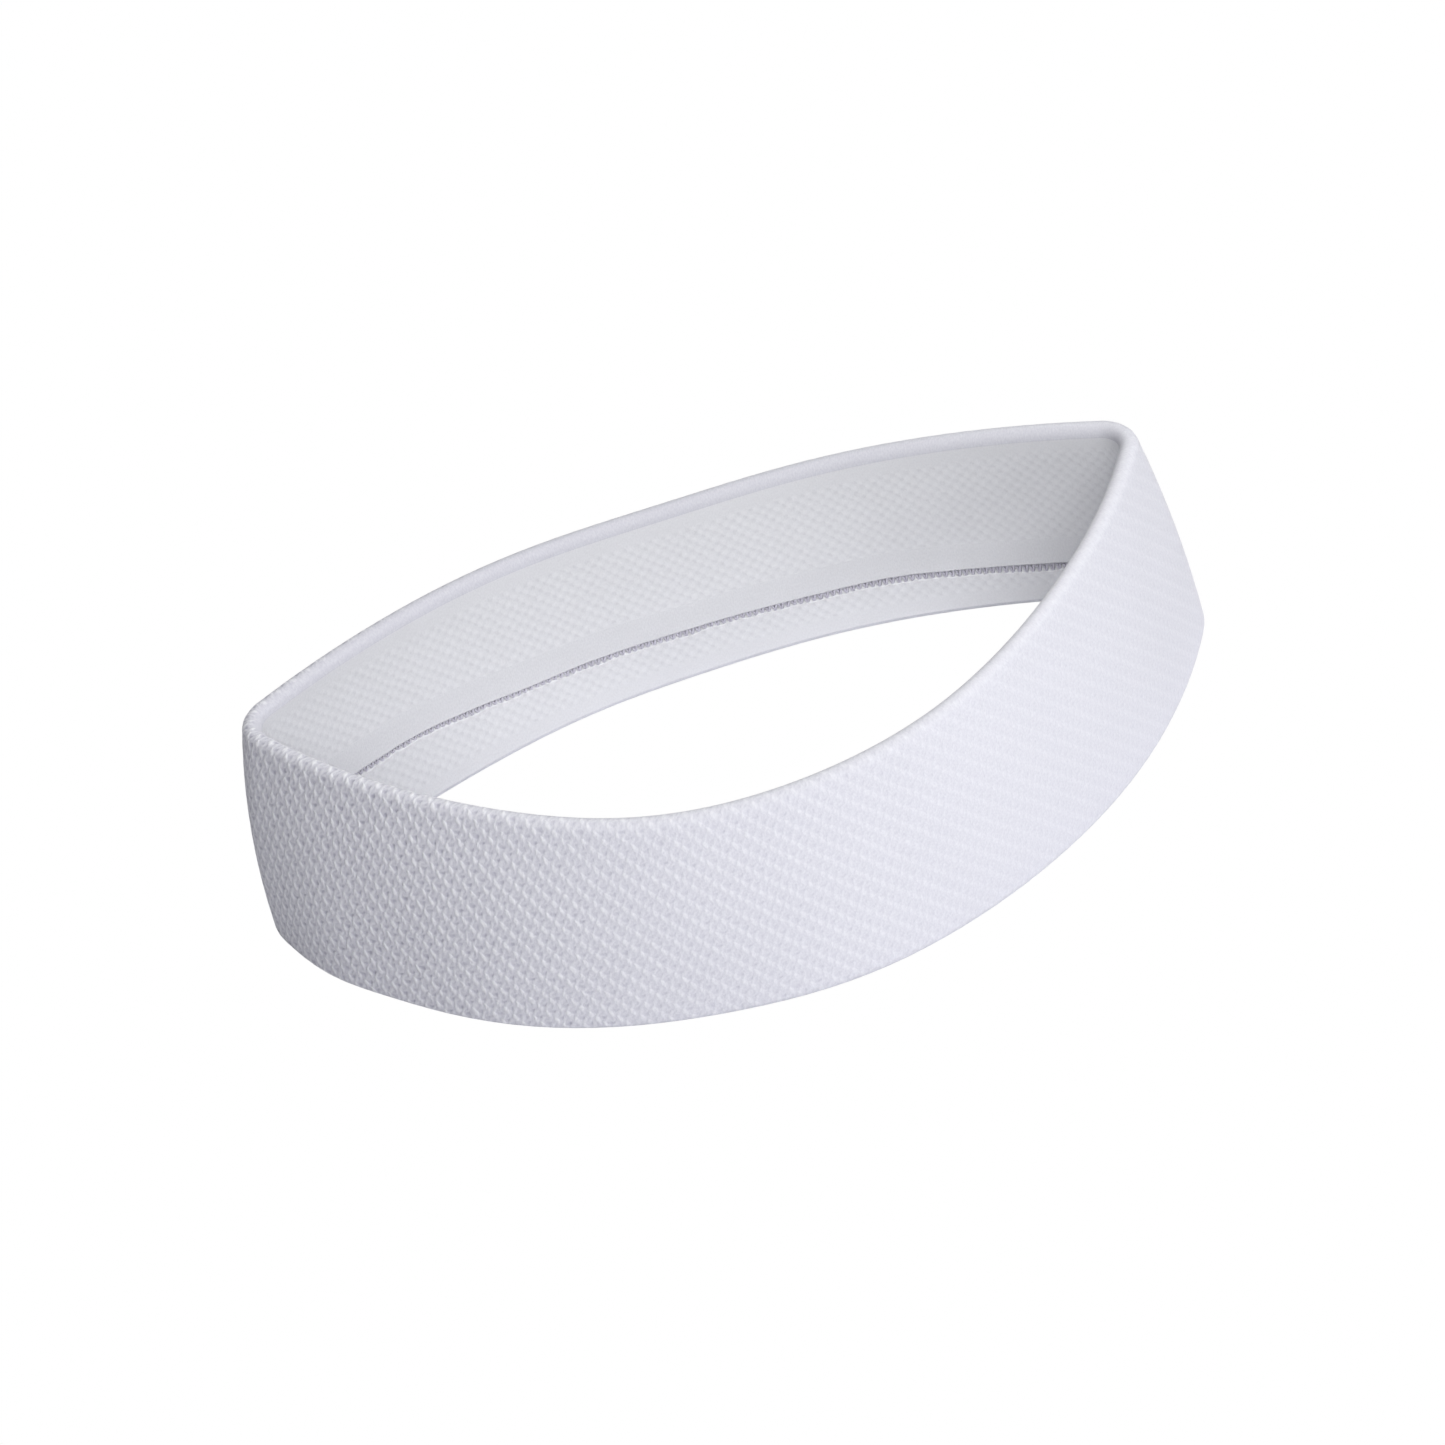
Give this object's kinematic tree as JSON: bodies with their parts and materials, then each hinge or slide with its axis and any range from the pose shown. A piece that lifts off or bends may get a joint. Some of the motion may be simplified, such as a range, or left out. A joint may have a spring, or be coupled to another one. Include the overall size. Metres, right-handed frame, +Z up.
{
  "type": "sports headband",
  "caption": "Wide knitted headband folded double, a closed elastic ring standing on its lower fold, with a seam and smooth welt round the inside.",
  "frame": {"origin": "on the surface that the band stands on, under the middle of its outline", "axes": "+Z up; -Y towards the front, the deeper curve; +Y towards the back, the flatter curve; X along the band from end to end"},
  "size_m": [0.1996, 0.1062, 0.0497],
  "materials": {
    "outer_knit": "white pique knit with raised bumps in slanting rows",
    "facing_knit": "white pique knit with a fine checker of bumps",
    "welt_jersey": "smooth white jersey",
    "sewing_thread": "soft white textured polyester thread",
    "elastic": "elastic core covered with white yarn"
  },
  "bodies": {
    "root": {"outer_panel": "outer_knit", "upper_facing": "facing_knit", "lower_facing": "facing_knit", "seam_welt": "welt_jersey", "overlock_edge": "sewing_thread", "linking_thread": "sewing_thread", "elastic_yarn_01": "elastic", "elastic_yarn_02": "elastic", "elastic_yarn_03": "elastic", "elastic_yarn_04": "elastic", "elastic_yarn_05": "elastic", "elastic_yarn_06": "elastic", "elastic_yarn_07": "elastic", "elastic_yarn_08": "elastic", "elastic_yarn_09": "elastic", "elastic_yarn_10": "elastic", "elastic_yarn_11": "elastic"}
  },
  "joints": []
}
